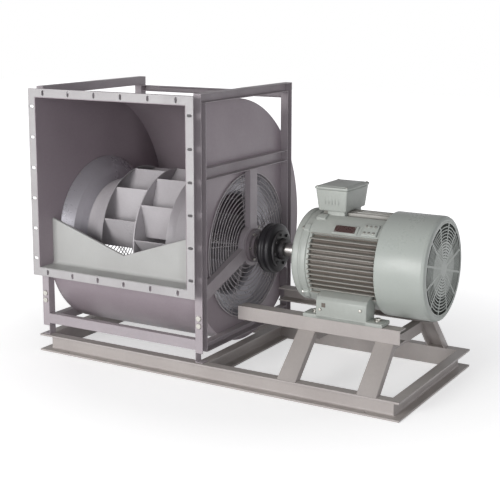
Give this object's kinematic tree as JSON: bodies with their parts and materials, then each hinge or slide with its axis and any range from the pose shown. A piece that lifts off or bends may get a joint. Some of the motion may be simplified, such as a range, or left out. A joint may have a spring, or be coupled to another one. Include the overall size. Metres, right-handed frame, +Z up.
{
  "type": "double-inlet centrifugal ventilation fan",
  "caption": "Double-inlet centrifugal ventilation fan on a channel base, driven by a finned foot-mounted motor through a rubber tyre coupling.",
  "frame": {"origin": "middle of the whole fan's footprint, on the underside of the base", "axes": "+X along the shaft from the fan to the motor, +Y away from the outlet, +Z up"},
  "size_m": [1.833, 0.969, 1.229],
  "materials": {
    "base_paint": "satin",
    "frame_paint": "satin",
    "housing_paint": "satin",
    "flange_zinc": "satin",
    "guard_wire": "satin",
    "bearing_iron": "satin",
    "impeller_paint": "satin",
    "shaft_steel": "satin",
    "hub_iron": "satin",
    "tyre_rubber": "matte",
    "motor_paint": "satin",
    "cowl_paint": "satin",
    "core_steel": "matte",
    "fan_plastic": "matte",
    "bolt_zinc": "satin"
  },
  "bodies": {
    "stand": {"base_front_rail": "base_paint", "base_left_end": "base_paint", "base_middle_member": "base_paint", "base_rear_rail": "base_paint", "base_right_end": "base_paint", "cowl_grille": "cowl_paint", "cutoff_plate": "flange_zinc", "drive_end_shield": "motor_paint", "fan_cowl": "cowl_paint", "frame_bolts": "bolt_zinc", "front_bottom_tie": "frame_paint", "left_bearing_bracket": "frame_paint", "left_bearing_housing": "bearing_iron", "left_frame_bottom_rail": "frame_paint", "left_frame_front_upright": "frame_paint", "left_frame_mid_rail": "frame_paint", "left_frame_rear_upright": "frame_paint", "left_frame_top_rail": "frame_paint", "left_inlet_cone": "housing_paint", "left_inlet_guard": "guard_wire", "left_side_plate": "housing_paint", "motor_foot_bolts": "bolt_zinc", "motor_frame": "motor_paint", "outlet_flange": "flange_zinc", "rear_end_shield": "motor_paint", "rear_top_tie": "frame_paint", "right_bearing_bracket": "frame_paint", "right_bearing_housing": "bearing_iron", "right_frame_bottom_rail": "frame_paint", "right_frame_front_upright": "frame_paint", "right_frame_mid_rail": "frame_paint", "right_frame_rear_upright": "frame_paint", "right_frame_top_rail": "frame_paint", "right_inlet_cone": "housing_paint", "right_inlet_guard": "guard_wire", "right_side_plate": "housing_paint", "scroll_wrapper": "housing_paint", "stand_front_rail": "base_paint", "stand_leg_front_left": "base_paint", "stand_leg_front_right": "base_paint", "stand_leg_rear_left": "base_paint", "stand_leg_rear_right": "base_paint", "stand_rear_rail": "base_paint", "stand_ties": "base_paint", "stator_core": "core_steel", "terminal_box": "motor_paint", "terminal_box_lid": "motor_paint"},
    "fan_rotor": {"fan_shaft": "shaft_steel", "impeller_hub": "impeller_paint", "impeller_centre_plate": "impeller_paint", "left_shroud": "impeller_paint", "right_shroud": "impeller_paint", "left_blades": "impeller_paint", "right_blades": "impeller_paint", "fan_coupling_hub": "hub_iron", "coupling_tyre": "tyre_rubber"},
    "motor_rotor": {"motor_shaft": "shaft_steel", "rotor_core": "core_steel", "motor_cooling_fan": "fan_plastic", "motor_coupling_hub": "hub_iron"}
  },
  "joints": [
    {"name": "fan_spin", "type": "hinge", "parent": "stand", "child": "fan_rotor", "pos_m": [-0.4315, 0.0015, 0.516], "axis": [1, 0, 0], "continuous": true},
    {"name": "motor_spin", "type": "hinge", "parent": "stand", "child": "motor_rotor", "pos_m": [0.2685, 0.0015, 0.516], "axis": [1, 0, 0], "continuous": true}
  ],
  "couplings": [
    {"joint": "motor_spin", "follows": "fan_spin", "ratio": 1}
  ]
}
